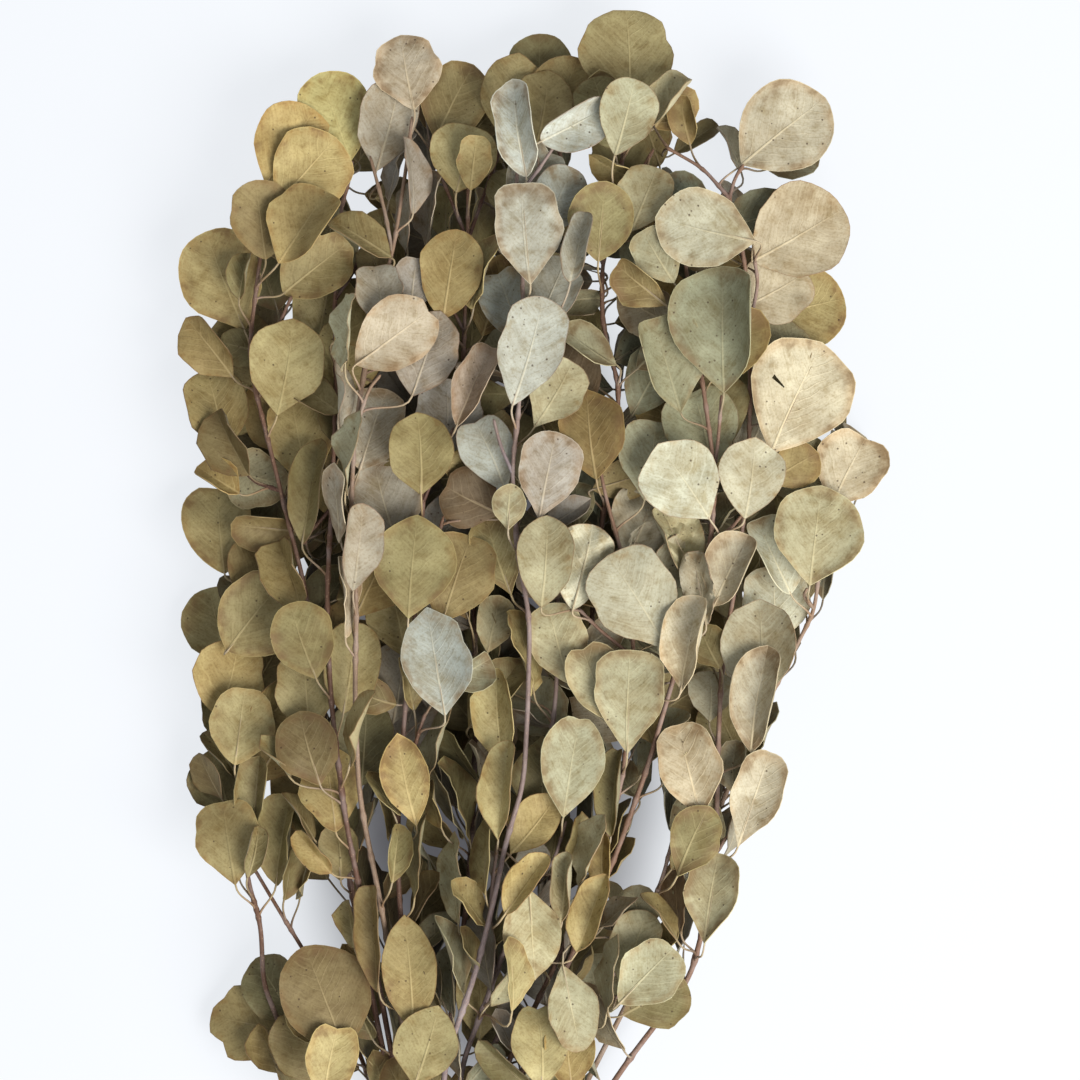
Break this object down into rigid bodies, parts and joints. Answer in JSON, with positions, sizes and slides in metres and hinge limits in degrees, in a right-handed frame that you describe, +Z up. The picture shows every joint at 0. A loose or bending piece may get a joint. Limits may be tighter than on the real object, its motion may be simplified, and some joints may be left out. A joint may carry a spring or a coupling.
{
  "type": "eucalyptus branch bunch",
  "caption": "Tied bunch of dried silver-dollar eucalyptus branches with round leaves, lying flat with its tips fanned out.",
  "frame": {"origin": "on the table, under the middle of the bunch's box", "axes": "+Y along the stems towards the tips, +X to the right seen from above, +Z up from the table"},
  "size_m": [0.357, 0.743, 0.0988],
  "materials": {
    "outer_left": "matt olive-gold dried leaves on a red-brown stem",
    "low_left": "matt olive-gold dried leaves on a thin pinkish stem",
    "bottom_left": "matt brown-olive dried leaves on a red-brown stem",
    "inner_left": "matt yellow-olive dried leaves on a red-brown stem",
    "left_silver": "matt grey-beige dried leaves on a grey-brown stem",
    "centre_left": "matt olive dried leaves on a purple-brown stem",
    "upper_centre": "matt olive-gold dried leaves on a purple-brown stem",
    "silver_centre": "matt silver-blue dried leaves on a pale mauve stem",
    "upper_right": "matt olive-gold dried leaves on a red-brown stem",
    "right_inner": "matt pale sage dried leaves on a red-brown stem",
    "far_right": "matt tan and cream dried leaves on a red-brown stem",
    "outer_right": "matt sage and tan dried leaves on a purple-brown stem",
    "mid_right": "matt pale sage dried leaves on a purple-brown stem",
    "low_centre": "matt olive dried leaves on a purple-grey stem",
    "low_right": "matt tan dried leaves on a purple-brown stem",
    "tie": "natural twine, wound"
  },
  "bodies": {
    "root": {"outer_left": "outer_left", "low_left": "low_left", "bottom_left": "bottom_left", "inner_left": "inner_left", "left_silver": "left_silver", "centre_left": "centre_left", "upper_centre": "upper_centre", "silver_centre": "silver_centre", "upper_right": "upper_right", "right_inner": "right_inner", "far_right": "far_right", "outer_right": "outer_right", "mid_right": "mid_right", "low_centre": "low_centre", "low_right": "low_right", "tie": "tie"}
  },
  "joints": []
}
